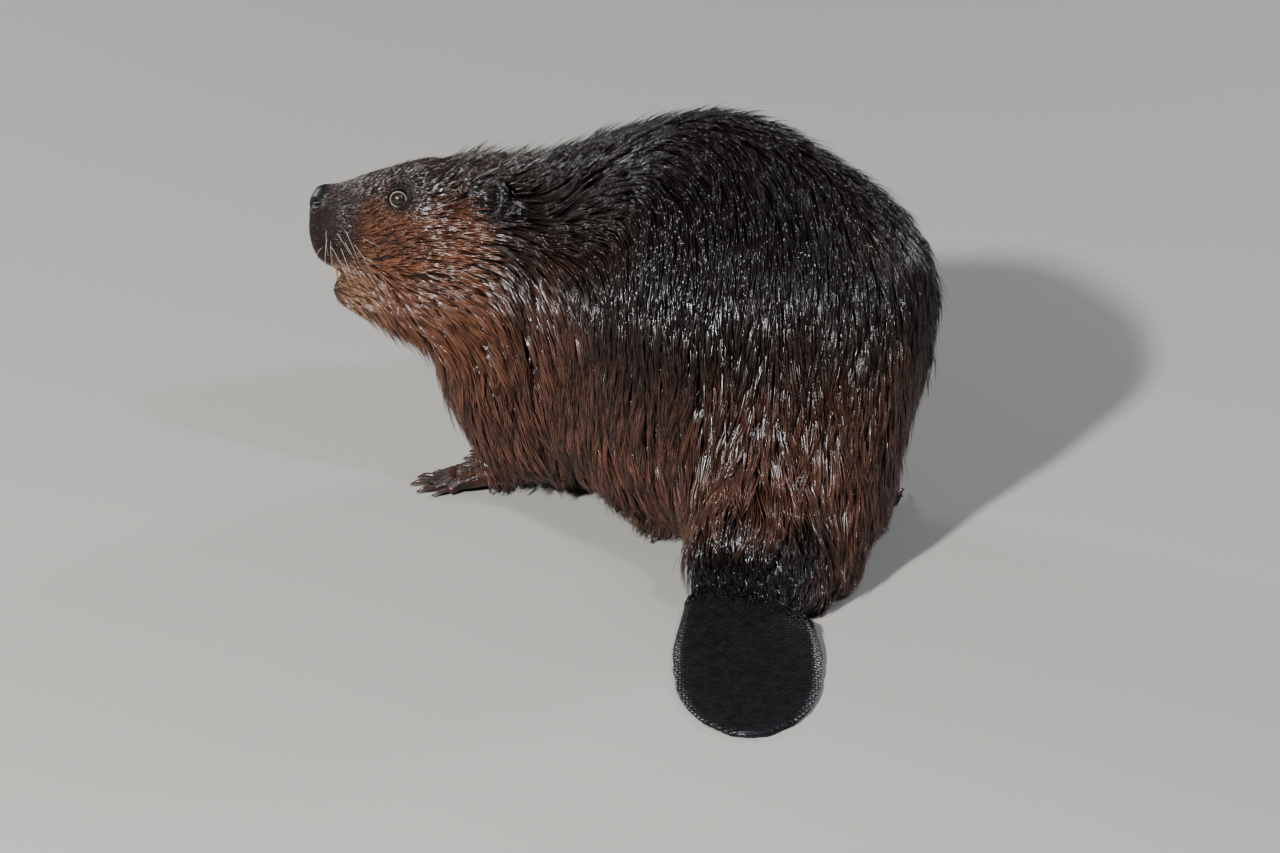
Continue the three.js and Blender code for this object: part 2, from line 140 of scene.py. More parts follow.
def sketch(x, y, z):
    """A place given in millimetres from the ground between the hind feet."""
    return (np.array([x, y, z]) + SKETCH) * MM


# The line of the back, from the nose to the tip of the tail: the coat runs along it.
SPINE_ON_HEAD = [(72, 0, -8), (40, 0, 8), (0, 0, 18), (-60, 0, 30)]
SPINE_ON_SKETCH = [(-172, 130, 262), (-115, 122, 288), (-58, 96, 320), (-8, 52, 315), (6, -8, 272)]
SPINE_ON_SKETCH += [(4, -52, 205), (-2, -82, 130), (-6, -112, 70), (-9, -165, 26), (-10, -310, 8)]
SPINE = np.array([on_head(*at) for at in SPINE_ON_HEAD] + [sketch(*at) for at in SPINE_ON_SKETCH])
SPINE_SPACING = 8 * MM


def dense(line, spacing):
    """Points along a smooth curve through the line, and the way that it runs at each."""
    padded = np.vstack([2 * line[0] - line[1], line, 2 * line[-1] - line[-2]])
    points = []
    for a, b, c, d in zip(padded, padded[1:], padded[2:], padded[3:]):
        steps = max(2, int(np.linalg.norm(c - b) / spacing))
        t = np.arange(steps)[:, None] / steps
        square = 2 * a - 5 * b + 4 * c - d
        cube = 3 * b - a - 3 * c + d
        points.append(0.5 * (2 * b + (c - a) * t + square * t**2 + cube * t**3))
    points = np.vstack(points)
    return points, unit(np.gradient(points, axis=0))


spine_points, spine_ways = dense(SPINE, SPINE_SPACING)

# ---- meshes


def new_object(name, mesh):
    obj = bpy.data.objects.new(name, mesh)
    bpy.context.scene.collection.objects.link(obj)
    return obj


def mesh_from(name, points, faces):
    """A mesh from an array of points and an array of faces that all have as many corners."""
    mesh = bpy.data.meshes.new(name)
    corners = faces.shape[1]
    mesh.vertices.add(len(points))
    mesh.vertices.foreach_set("co", np.ascontiguousarray(points, np.float32).ravel())
    mesh.loops.add(faces.size)
    mesh.loops.foreach_set("vertex_index", np.ascontiguousarray(faces, np.int32).ravel())
    mesh.polygons.add(len(faces))
    mesh.polygons.foreach_set("loop_start", np.arange(0, faces.size, corners, dtype=np.int32))
    mesh.polygons.foreach_set("use_smooth", np.full(len(faces), True))
    mesh.update(calc_edges=True)
    return mesh


def values_of(rows, name, width, kind=np.int32):
    """One property of a mesh's points, edges, corners or faces, with a row for each."""
    values = np.empty(len(rows) * width, kind)
    rows.foreach_get(name, values)
    return values.reshape(-1, width)


def points_of(mesh):
    return values_of(mesh.vertices, "co", 3, np.float32).astype(float)


def normals_of(mesh):
    return values_of(mesh.vertex_normals, "vector", 3, np.float32).astype(float)


def edges_of(mesh):
    return values_of(mesh.edges, "vertices", 2)


def triangles_of(mesh):
    mesh.calc_loop_triangles()
    return values_of(mesh.loop_triangles, "vertices", 3)


def move_points(mesh, points):
    mesh.vertices.foreach_set("co", np.ascontiguousarray(points, np.float32).ravel())
    mesh.update()


def smoothed(points, edges, rounds, weight=0.5):
    """Points drawn towards the mean of their neighbours, some more than others."""
    count = np.bincount(edges.ravel(), minlength=len(points))[:, None]
    weight = np.broadcast_to(weight, (len(points),))[:, None]
    for _ in range(rounds):
        total = np.zeros_like(points)
        for axis in range(3):
            total[:, axis] = np.bincount(edges[:, 0], points[edges[:, 1], axis], len(points))
            total[:, axis] += np.bincount(edges[:, 1], points[edges[:, 0], axis], len(points))
        points = points + weight * (total / np.maximum(count, 1) - points)
    return points


DRAW_IN = 0.5
LET_OUT = -0.52


def relaxed(points, edges, rounds):
    """Points evened out with little loss of size: each round draws them in and lets them out."""
    for _ in range(rounds):
        points = smoothed(points, edges, 1, DRAW_IN)
        points = smoothed(points, edges, 1, LET_OUT)
    return points


def apply_modifiers(obj):
    """The object gets a mesh with its modifiers in it, and they go."""
    graph = bpy.context.evaluated_depsgraph_get()
    mesh = bpy.data.meshes.new_from_object(obj.evaluated_get(graph))
    obj.modifiers.clear()
    old = obj.data
    obj.data = mesh
    bpy.data.meshes.remove(old)


WELD = 0.01 * MM  # points of a solid that lie nearer than this are one
SWELL = 0.7 * MM  # how much the solids of flesh are swollen, so that they overlap


def cad_mesh(nodes, swell):
    """The solids of several nodes in one mesh, each swollen a little."""
    parts = bmesh.new()
    for node in nodes:
        solid = bmesh.new()
        solid.from_mesh(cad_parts[node].data)
        bmesh.ops.remove_doubles(solid, verts=solid.verts, dist=WELD)
        mesh = bpy.data.meshes.new(node)
        solid.to_mesh(mesh)
        solid.free()
        move_points(mesh, points_of(mesh) + swell * normals_of(mesh))
        parts.from_mesh(mesh)
        bpy.data.meshes.remove(mesh)
    whole = bpy.data.meshes.new("joined")
    parts.to_mesh(whole)
    parts.free()
    return whole


def remesh(obj, voxel):
    """The object's mesh is made anew from even voxels."""
    modifier = obj.modifiers.new("voxels", "REMESH")
    modifier.mode = "VOXEL"
    modifier.voxel_size = voxel
    modifier.use_smooth_shade = True
    apply_modifiers(obj)


def remeshed(name, nodes, voxel, swell):
    """One closed surface round the solids of several nodes."""
    obj = new_object(name, cad_mesh(nodes, swell))
    remesh(obj, voxel)
    return obj


# ---- the coat's measures, with limits in millimetres unless MM is beside them


def on_face(points):
    """One on the face, falling to nothing behind the ears and under the throat."""
    forward, _, up = by_head(points).T
    return ramp(-110, -55, forward) * ramp(-150, -105, up)


HINDFOOT_LENGTH = 135 * MM
FOREFOOT_LENGTH = 75 * MM
# Each foot's heel, its way over the floor in degrees, and its length.
FEET = [
    (sketch(-72, 12, 0), 104, HINDFOOT_LENGTH),
    (sketch(60, -44, 0), 86, HINDFOOT_LENGTH),
    (sketch(-196, 102, 0), 182, FOREFOOT_LENGTH),
    (sketch(-156, 152, 0), 186, FOREFOOT_LENGTH),
]


def on_feet(points):
    """One on the bare feet, falling to nothing at the ankles."""
    foot = np.zeros(len(points))
    for heel, degrees, length in FEET:
        way = np.array([math.cos(math.radians(degrees)), math.sin(math.radians(degrees))])
        along = np.clip((points[:, :2] - heel[:2]) @ way, -6 * MM, length)
        aside = norm(points[:, :2] - heel[:2] - along[:, None] * way)
        foot = np.maximum(foot, ramp(46 * MM, 36 * MM, aside))
    return foot * ramp(30 * MM, 15 * MM, points[:, 2])


EAR_RADIUS = 19 * MM
EAR_FACES = np.array([0.5, 0.82, 0.25])  # forward, left and up, for the left ear


def on_ears(points):
    """One on the ears, falling to nothing on the head round them."""
    ears = np.zeros(len(points))
    for side in SIDES:
        out = on_side(EAR_FACES, side)
        away = points - middle(f"ear_{side}")
        through = away @ out
        across = norm(away - through[:, None] * out)
        near = ramp(EAR_RADIUS + 3 * MM, EAR_RADIUS - 2 * MM, across)
        ears = np.maximum(ears, near * ramp(14 * MM, 8 * MM, np.abs(through)))
    lift = ramp(-16, -6, by_head(points)[:, 2])
    return ears * lift


def round_tail(points, beside, above, ahead, patch=0):
    """One round the tail's root, falling to nothing between the limits on each side of it."""
    x, y, z = (points / MM - SKETCH).T
    aside = np.abs(x - 0.12 * y - 3)
    return ramp(*beside, aside) * ramp(*above, z + 16 * patch) * ramp(*ahead, y)


def on_tail_root(points):
    """One where the back narrows into the tail, and the hair is short and black."""
    return round_tail(points, (70, 50), (84, 52), (-80, -104))


def above_tail(points, patch):
    """One on the short black hair, fading out over the longer hair above it."""
    return round_tail(points, (70, 44), (128, 62), (-54, -98), patch)


# The upright plane, across the body, where the tail's scaled solid begins.
TAIL_STARTS = sketch(-2, -129, 0)
TAIL_STARTS_WAY = unit(np.array([-0.36, -0.93, 0]))


def past_tail_root(points):
    """How far along the tail each point lies, in metres, from where the scales begin."""
    return (points - TAIL_STARTS) @ TAIL_STARTS_WAY


EAR_AND_FOOT_HAIR = 5  # how long it is, in millimetres


def head_hair(points):
    """How long the hair of the head is, in millimetres."""
    forward, _, up = by_head(points).T
    length = np.interp(forward, [-95, -50, -12, 15, 40, 60], [26, 21, 16, 11.5, 6.5, 4.0])
    length = length + 7 * ramp(-48, -80, up) * ramp(56, 34, forward)
    length = length * (1 - 0.3 * ramp(-2, 14, up) * ramp(-45, -20, forward))
    away = from_eyes(points) / MM
    by_eye = np.interp(away, [9, 26], [2.6, 14]) + 60 * ramp(24, 27, away)
    length = np.minimum(length, by_eye)
    return length + (EAR_AND_FOOT_HAIR - length) * on_ears(points)


def body_hair(points):
    """How long the hair of the body is, in millimetres: it shortens towards the tail."""
    length = np.interp(points[:, 2] / MM, [0, 30, 70, 140, 250, 330], [20, 28, 36, 38, 36, 32])
    near_tail = np.interp(past_tail_root(points) / MM, [-40, -8, 16], [0.5, 0.66, 0.82])
    length = length * (1 - near_tail * on_tail_root(points))
    return length + (EAR_AND_FOOT_HAIR - length) * on_feet(points)


def coat_length(points):
    """How long the hair is, in metres: short on the muzzle, longest on the flanks."""
    face = on_face(points)
    return ((1 - face) * body_hair(points) + face * head_hair(points)) * MM


def on_crown(points):
    """One over the crown and nape, where the hair stands up in a ruff."""
    forward, _, up = by_head(points).T
    return ramp(-18, -42, forward) * ramp(-165, -125, forward) * ramp(-12, 14, up)


NOSE_AT = on_head(60, 0, -9)
NOSE_REACH = np.array([13, 17, 15])  # how far the bare nose reaches along each axis
CROWN_DEPTH = 2.6  # how much deeper the coat is there, in millimetres


def furred(points):
    """One where the skin is furred, falling to nothing on the nose and the feet."""
    nose = norm((points - NOSE_AT) / NOSE_REACH / MM)
    return ramp(0.85, 1.15, nose) * (1 - on_feet(points))


def coat_depth(points):
    """How far the skin lies inside the coat's outer surface, in metres."""
    length = coat_length(points) / MM
    depth = np.interp(length, [2.6, 3.6, 6, 10, 15, 20, 32], [0.3, 0.6, 1.1, 2.0, 3.6, 5.6, 9.0])
    depth = depth + CROWN_DEPTH * on_crown(points) * on_face(points)
    return depth * furred(points) * (1 - on_ears(points)) * MM


FLOW_BLEND = 45 * MM  # how far along the back the flow at one place is drawn from
SIDES_FALL = 110 * MM  # how far below the back the hair lies straight down


def coat_flow(points):
    """The way that the hair lies: back along the spine, and down where the sides fall away."""
    d2 = ((points[:, None, :] - spine_points[None]) ** 2).sum(2)
    weight = np.exp(-(d2 - d2.min(1, keepdims=True)) / FLOW_BLEND**2)
    weight /= weight.sum(1, keepdims=True)
    way = weight @ spine_ways
    below_spine = weight @ spine_points[:, 2] - points[:, 2]
    fall = ramp(0, SIDES_FALL, below_spine)
    fall = (fall * (1 - 0.55 * on_face(points)))[:, None]
    return way * (1 - 0.55 * fall) + np.array([0, 0, -1.0]) * fall


# ---- colours of skin and coat

NEAR_BLACK = np.array([0.0045, 0.0032, 0.0034])
DARK_BROWN = np.array([0.016, 0.009, 0.007])
RED_BROWN = np.array([0.066, 0.032, 0.023])
ORANGE_BROWN = np.array([0.098, 0.046, 0.027])
TAN = np.array([0.15, 0.10, 0.066])
LID_GREY = np.array([0.20, 0.17, 0.16])
WET_SKIN = np.array([0.020, 0.011, 0.009])
NOSE_BLACK = np.array([0.008, 0.008, 0.010])
TOE_RED = np.array([0.085, 0.026, 0.020])


def blend(a, b, weight):
    return a + (b - a) * np.asarray(weight)[:, None]


def painted(colour, layers):
    """The colour with each paint laid over it by its weight, one after another."""
    for paint, weight in layers:
        colour = blend(colour, paint, weight)
    return colour


def body_markings_and_floor_shade(points, patch):
    """The body's layers: dark back, red-brown flanks, painted shade low by the floor, and dark
    short hair at the tail.
    """
    height = points[:, 2] / MM
    return [
        (DARK_BROWN, ramp(290, 150, height + 18 * patch)),
        (RED_BROWN, ramp(225, 90, height + 24 * patch) * 0.8),
        # painted shade: the coat is darkened near the floor, where the body shades it
        (DARK_BROWN, ramp(38, 20, height) * 0.7),
        (NEAR_BLACK, above_tail(points, patch)),
    ]


def head_markings(points, patch):
    """The head's layers: red-brown neck, dark face, orange cheek and throat, tan lips and chin."""
    forward, _, up = by_head(points).T
    mottle = uneven(points, 16 * MM, 12)
    cheek = ramp(-74, -50, forward + 7 * patch) * ramp(12, -22, up + 7 * mottle)
    cheek = cheek * ramp(54, 22, forward + 5 * mottle) * ramp(-150, -95, up)
    throat = ramp(-100, -60, forward) * ramp(-55, -85, up) * ramp(40, 10, forward)
    throat = throat * ramp(-160, -105, up)
    lips = ramp(8, 30, forward) * ramp(-36, -56, up) * ramp(60, 46, forward)
    return [
        (RED_BROWN, ramp(-165, -95, forward + 14 * patch) * ramp(-30, -80, up) * 0.7),
        (DARK_BROWN * 1.1, on_face(points) * 0.8),
        (ORANGE_BROWN, cheek * np.clip(0.74 + 0.3 * mottle, 0, 1)),
        (ORANGE_BROWN, throat * 0.6),
        (TAN, lips * 0.55),
        (TAN, ramp(4, 24, forward) * ramp(-60, -72, up) * 0.5),
        (DARK_BROWN * 1.2, ramp(24, 44, forward) * ramp(-58, -42, up) * 0.9),
    ]


def markings(points):
    """The colour of the coat, and of the skin under it, at each point, with painted shade low by
    the floor.
    """
    patch = uneven(points, 55 * MM, 11)
    layers = body_markings_and_floor_shade(points, patch) + head_markings(points, patch)
    layers.append((NEAR_BLACK, ramp(17, 11, from_eyes(points) / MM) * 0.85))
    layers.append((NEAR_BLACK, on_ears(points)))
    return painted(np.tile(NEAR_BLACK, (len(points), 1)), layers)


# ---- materials


class Nodes:
    """A material's node tree, with a short way to add and join nodes."""

    def __init__(self, name):
        self.material = bpy.data.materials.new(name)
        self.material.use_nodes = True
        self.tree = self.material.node_tree
        self.shader = self.tree.nodes["Principled BSDF"]

    def add(self, kind, inputs=None, **settings):
        node = self.tree.nodes.new(kind)
        for key, value in settings.items():
            setattr(node, key, value)
        for key, value in (inputs or {}).items():
            self.plug(value, node.inputs[key])
        return node

    def plug(self, value, socket):
        if isinstance(value, bpy.types.NodeSocket):
            self.tree.links.new(value, socket)
        else:
            socket.default_value = value

    def set(self, **sockets):
        for key, value in sockets.items():
            self.plug(value, self.shader.inputs[key.replace("_", " ")])

    def attribute(self, name, output="Fac"):
        return self.add("ShaderNodeAttribute", attribute_name=name).outputs[output]

    def where(self):
        return self.add("ShaderNodeTexCoord").outputs["Object"]

    def noise(self, scale, detail=2, roughness=0.5):
        inputs = {"Vector": self.where(), "Scale": scale, "Detail": detail, "Roughness": roughness}
        return self.add("ShaderNodeTexNoise", inputs).outputs["Fac"]

    def remap(self, value, to_low, to_high, low=0.0, high=1.0):
        inputs = {"Value": value, "From Min": low, "From Max": high}
        inputs |= {"To Min": to_low, "To Max": to_high}
        return self.add("ShaderNodeMapRange", inputs).outputs["Result"]

    def mix(self, a, b, factor, blend_type="MIX"):
        node = self.add("ShaderNodeMix", data_type="RGBA", blend_type=blend_type)
        self.plug(factor, node.inputs["Factor"])
        self.plug(a, node.inputs[6])
        self.plug(b, node.inputs[7])
        return node.outputs[2]

    def bump(self, height, distance):
        inputs = {"Height": height, "Distance": distance, "Strength": 1.0}
        return self.add("ShaderNodeBump", inputs).outputs["Normal"]


# What the coat's colour is multiplied by at the root, at the tip and on the palest locks. The dark
# root is partly the hair's own darker base and partly painted shade deep in the coat; the lighter
# tip is partly the hair's own warmer tip and partly painted light shining through it.
ROOT_TONE_AND_SHADE = (0.2, 0.17, 0.17, 1)
TIP_TONE_AND_LIGHT = (1.6, 1.42, 1.3, 1)
PALEST = (2.5, 2.1, 1.85, 1)
COLD_SHEEN = (0.86, 0.93, 1.0, 1)


def coat_material():
    """Wet hair: dark at the root, partly with painted shade, warmer towards the tip, partly with
    painted light through the tips, and each lock a little its own tone.
    """
    n = Nodes("wet_coat")
    colour = n.attribute("colour", "Color")
    along = n.attribute("along")
    tint = n.attribute("tint")
    root = n.mix(colour, ROOT_TONE_AND_SHADE, 1.0, "MULTIPLY")
    tip = n.mix(colour, TIP_TONE_AND_LIGHT, 1.0, "MULTIPLY")
    shaded = n.mix(root, tip, n.remap(along, 0.0, 1.0, 0.1, 1.0))
    light = n.mix(shaded, PALEST, n.remap(tint, 0.0, 1.0, -0.35, 1.0), "MULTIPLY")
    rough = n.remap(n.noise(120), 0.17, 0.28, 0.3, 0.7)
    n.set(Base_Color=light, Roughness=rough, Specular_IOR_Level=1.0, Specular_Tint=COLD_SHEEN)
    return n.material


def skin_material():
    """The skin under the coat, and bare on the feet, nose and lids: dark, wet and grained."""
    n = Nodes("under_skin")
    colour = n.attribute("colour", "Color")
    bare = n.attribute("bare")
    darker = n.remap(n.noise(260), 0.2, 1.0, 0.35, 0.65)
    mottled = n.mix(colour, (0.4, 0.36, 0.36, 1), darker, "MULTIPLY")
    cells = n.add("ShaderNodeTexVoronoi", {"Vector": n.where(), "Scale": 700.0})
    creases = n.noise(240, 3)
    height = n.add("ShaderNodeMath", {0: cells.outputs["Distance"], 1: creases}, operation="ADD")
    bump = n.bump(height.outputs[0], 0.09 * MM)
    n.set(Base_Color=mottled, Roughness=n.remap(bare, 0.6, 0.42), Normal=bump)
    n.set(Specular_IOR_Level=0.35)
    return n.material


PLAIN_GRAIN = 600
PLAIN_BUMP = 0.2 * MM


def plain_material(name, colour, roughness):
    """One colour, a little uneven, with a fine grain."""
    n = Nodes(name)
    varied = n.mix((*colour, 1), (*[c * 0.6 for c in colour], 1), n.noise(PLAIN_GRAIN / 3))
    n.set(Base_Color=varied, Roughness=roughness, Normal=n.bump(n.noise(PLAIN_GRAIN), PLAIN_BUMP))
    return n.material


# ---- the skin

FLESH = ["trunk", "neck", "head", "jaw", "ear_left", "ear_right", "tail_root"]
FLESH += [f"{limb}_{side}" for limb in ("hindleg", "foreleg") for side in SIDES]
PAWS = [f"{foot}_{side}" for foot in ("hindfoot", "forefoot") for side in SIDES]
FLESH += PAWS


def set_colours(mesh, colours):
    layer = mesh.attributes.new("colour", "FLOAT_COLOR", "POINT")
    rgba = np.hstack([colours, np.ones((len(colours), 1))]).astype(np.float32)
    layer.data.foreach_set("color", rgba.ravel())


def set_floats(mesh, name, values):
    layer = mesh.attributes.new(name, "FLOAT", "POINT")
    layer.data.foreach_set("value", values.astype(np.float32))


SKIN_VOXEL = 1.4 * MM
SKIN_FACES_KEPT = 0.36
SHRINK_STEPS = 6
SWELL_IN_STEP = 0.08 * MM  # taken off in each step, besides the coat's depth
EYE_FACES = unit(np.array([0.10, 1.0, 0.10]))  # forward, left and up, for the left eye
LID_OPENING = math.radians(47)
LID_RADIUS = 8.5 * MM
UNDER_LID = 6.2 * MM  # how far the skin behind the eye's surface lies from the eye's middle
LID_FOLD = 12 * MM
NOSTRIL = np.array([61.5, 10.5, -10.0])  # on the left side of the head, in millimetres
NOSTRIL_REACH = np.array([3.4, 6.0, 3.0])
NOSTRIL_DEPTH = 5.5
FINER_PLACES = [(eye_at[side], 16 * MM) for side in SIDES] + [(on_head(62, 0, -10), 20 * MM)]


def thinned(obj, weights, ratio):
    """Fewer faces, most of them taken where the weights are high."""
    group = obj.vertex_groups.new(name="plain")
    for level in range(1, 11):
        chosen = np.nonzero(np.round(weights * 10).astype(int) == level)[0]
        group.add(chosen.tolist(), level / 10, "REPLACE")
    decimate = obj.modifiers.new("fewer", "DECIMATE")
    decimate.ratio = ratio
    decimate.vertex_group = "plain"
    apply_modifiers(obj)
    obj.vertex_groups.clear()


def cut_finer(mesh, centre, radius):
    """The faces near a place are each cut into four."""
    work = bmesh.new()
    work.from_mesh(mesh)
    near = {vert for vert in work.verts if (vert.co - Vector(centre)).length < radius}
    edges = [edge for edge in work.edges if edge.verts[0] in near and edge.verts[1] in near]
    bmesh.ops.subdivide_edges(work, edges=edges, cuts=1, use_grid_fill=True)
    bmesh.ops.triangulate(work, faces=[face for face in work.faces if len(face.verts) > 4])
    work.to_mesh(mesh)
    work.free()


def with_lids(points):
    """The skin is raised round each eye into lids, open in the middle."""
    for side in SIDES:
        from_eye = points - eye_at[side]
        radius = norm(from_eye)
        ahead = from_eye @ on_side(EYE_FACES, side) / np.maximum(radius, 1e-9)
        angle = np.arccos(np.clip(ahead, -1, 1))
        opened = ramp(LID_OPENING - 0.14, LID_OPENING + 0.07, angle)
        lid = UNDER_LID + (LID_RADIUS - UNDER_LID) * opened
        near = ramp(15 * MM, 9.5 * MM, radius)
        near = near * ramp(math.radians(88), math.radians(62), angle)
        target = eye_at[side] + unit(from_eye) * lid[:, None]
        points = points + (target - points) * near[:, None]
        fold = np.exp(-(((radius - LID_FOLD) / (1.6 * MM)) ** 2)) * ramp(1.9, 1.2, angle)
        points = points - unit(from_eye) * (fold * 0.9 * MM)[:, None]
    return points


def with_nostrils(points):
    """A nostril is pressed into each side of the nose, with a raised wing, and a groove between."""
    on = by_head(points)
    for side in (1, -1):
        away = on - NOSTRIL * [1, side, 1]
        slit = norm(away / NOSTRIL_REACH)
        inward = unit(np.array([-0.75, -0.65 * side, 0.1]))
        on = on + inward * (NOSTRIL_DEPTH * ramp(1.15, 0.35, slit))[:, None]
        wing = np.exp(-(((slit - 1.75) / 0.45) ** 2)) * ramp(-6, 2, away[:, 0] + 4)
        on = on - inward * (1.1 * wing)[:, None]
    groove = np.exp(-((on[:, 1] / 1.5) ** 2))
    groove = groove * ramp(56, 62, on[:, 0]) * ramp(-2, -12, on[:, 2])
    on = on - np.array([1.6, 0, 0]) * groove[:, None]
    return HEAD_AT + on @ HEAD_AXES * MM


def skin_colours(points):
    """The skin's colour at each point, darkened under the coat by painted shade, and how bare it is
    there.
    """
    # painted shade: the skin under the coat is darkened to 0.35 of the coat's colour, as the hairs
    # shade it
    colour = markings(points) * 0.35
    bare = 1 - furred(points)
    ears = on_ears(points)
    colour = blend(colour, WET_SKIN, np.maximum(bare, ears))
    colour = blend(colour, NOSE_BLACK, bare * on_face(points))
    bare = np.maximum(bare, 0.5 * ears)
    foot = ramp(40 * MM, 14 * MM, points[:, 2])
    toes = foot * ramp(-0.2, 0.6, uneven(points, 20 * MM, 5)) * 0.7
    colour = blend(colour, TOE_RED, toes * bare)
    lids = ramp(12 * MM, 10 * MM, from_eyes(points))
    return blend(colour, WET_SKIN, lids), np.maximum(bare, lids)


def rough_skin():
    """One closed surface round the flesh, with more faces where there is more to see."""
    skin = remeshed("skin", FLESH, SKIN_VOXEL, SWELL)
    points = points_of(skin.data)
    forward, _, up = by_head(points).T
    face = ramp(-30, 0, forward) * ramp(-150, -120, up)
    feet = ramp(52 * MM, 34 * MM, points[:, 2])
    kept = np.maximum(np.maximum(face, feet), on_ears(points))
    thinned(skin, 1 - kept, SKIN_FACES_KEPT)
    for centre, radius in FINER_PLACES:
        cut_finer(skin.data, centre, radius)
    return skin


def draw_in(mesh):
    """The skin is evened out and drawn in, step by step, by the depth of the coat over it."""
    edges = edges_of(mesh)
    points = points_of(mesh)
    feet = ramp(34 * MM, 22 * MM, points[:, 2])
    face = ramp(-100, -60, by_head(points)[:, 0])
    ears = on_ears(points)
    points = relaxed(points, edges, 2)
    points = points + (relaxed(points, edges, 4) - points) * (1 - feet)[:, None]
    soft = (1 - feet) * (1 - 0.6 * face) * (1 - ears)
    points = smoothed(points, edges, 26, 0.5 * soft)
    move_points(mesh, points)
    for _ in range(SHRINK_STEPS):
        outward = unit(smoothed(normals_of(mesh), edges, 6, 0.5 * soft))
        depth = coat_depth(points) / SHRINK_STEPS + SWELL_IN_STEP
        points = smoothed(points - outward * depth[:, None], edges, 3, 0.45 * soft)
        move_points(mesh, points)
    points = with_nostrils(with_lids(points))
    points[:, 2] = np.maximum(points[:, 2], 0)
    move_points(mesh, points)
    return points


def make_skin():
    skin = rough_skin()
    mesh = skin.data
    colour, bare = skin_colours(draw_in(mesh))
    set_colours(mesh, colour)
    set_floats(mesh, "bare", bare)
    mesh.shade_smooth()
    mesh.materials.append(skin_material())
    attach(skin, "root")
    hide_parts(*FLESH)
    return skin


# ---- blades of hair


def scattered(mesh, spacing):
    """Points spread over a mesh at random, as many per area as the spacing in metres says."""
    tris = triangles_of(mesh)
    points = points_of(mesh)
    normals = normals_of(mesh)
    a, b, c = (points[tris[:, i]] for i in range(3))
    area = norm(np.cross(b - a, c - a)) / 2
    share = area / spacing((a + b + c) / 3) ** 2
    picks = rng.choice(len(tris), int(share.sum()), p=share / share.sum())
    u, v = rng.random((2, len(picks)))
    flip = u + v > 1
    u, v = np.where(flip, 1 - u, u), np.where(flip, 1 - v, v)
    weights = np.stack([1 - u - v, u, v], 1)
    spread = (points[tris[picks]] * weights[:, :, None]).sum(1)
    facing = unit((normals[tris[picks]] * weights[:, :, None]).sum(1))
    return spread, facing


BLADE_THICKNESS = 0.35  # as a share of its width


def blades(name, paths, ups, widths):
    """One mesh of many tapering three-sided blades. paths holds each blade's points in order,
    ups the way out from the body at each, and widths the width at all but the last."""
    count, steps, _ = paths.shape
    rings = steps - 1
    ways = unit(np.diff(paths, axis=1))
    sides = unit(np.cross(ways, ups[:, :rings]))
    half = widths[:, :, None] / 2
    line = paths[:, :rings]
    ridge = line + ups[:, :rings] * half * BLADE_THICKNESS * 2
    ring = np.stack([line - sides * half, line + sides * half, ridge], axis=2)
    points = np.concatenate([ring.reshape(count, rings * 3, 3), paths[:, -1:]], axis=1)
    tip = rings * 3
    faces = [[0, 2, 1]]
    for r in range(rings - 1):
        for i, j in ((0, 1), (1, 2), (2, 0)):
            a, b = r * 3 + i, r * 3 + j
            faces += [[a, b, b + 3], [a, b + 3, a + 3]]
    last = (rings - 1) * 3
    faces += [[last, last + 1, tip], [last + 1, last + 2, tip], [last + 2, last, tip]]
    faces = np.array(faces)[None] + (np.arange(count) * (tip + 1))[:, None, None]
    return mesh_from(name, points.reshape(-1, 3), faces.reshape(-1, 3))


GUIDE_STEPS = 6
RISE = 2.2  # how soon a clump reaches its depth of coat


def guides(surface, roots, facing, lengths, depths, lifts, swirl, curl, hang):
    """The middle line of each clump: it leaves the skin, rises into the coat and lies along it.
    swirl turns it aside, curl bends it sideways, lifts raise its tip and hang lets it sag."""
    paths = np.empty((len(roots), GUIDE_STEPS + 1, 3))
    ups = np.empty_like(paths)
    paths[:, 0], ups[:, 0] = roots, facing
    at = roots.copy()
    facing = facing.copy()
    for k in range(1, GUIDE_STEPS + 1):
        t = k / GUIDE_STEPS
        way = coat_flow(at)
        way = unit(way - facing * (way * facing).sum(1, keepdims=True))
        way = unit(way + np.cross(facing, way) * (swirl + curl * (2 * t - 1))[:, None])
        target = at + way * (lengths / GUIDE_STEPS)[:, None]
        for i in range(len(at)):
            at[i], facing[i], _, _ = surface.find_nearest(Vector(target[i]))
        rise = depths * (1 - (1 - t) ** RISE) * (1 + lifts * t)
        paths[:, k] = at + facing * rise[:, None]
        paths[:, k, 2] -= hang * lengths * t * t
        ups[:, k] = facing
    return paths, ups


def along_guides(paths, s):
    """Each guide's points at its own places s from 0 to 1."""
    x = np.clip(s, 0, 1) * GUIDE_STEPS
    low = np.minimum(x.astype(int), GUIDE_STEPS - 1)
    t = (x - low)[:, :, None]
    rows = np.arange(len(paths))[:, None]
    return paths[rows, low] * (1 - t) + paths[rows, low + 1] * t


UNWRAP_VOXEL = 9 * MM


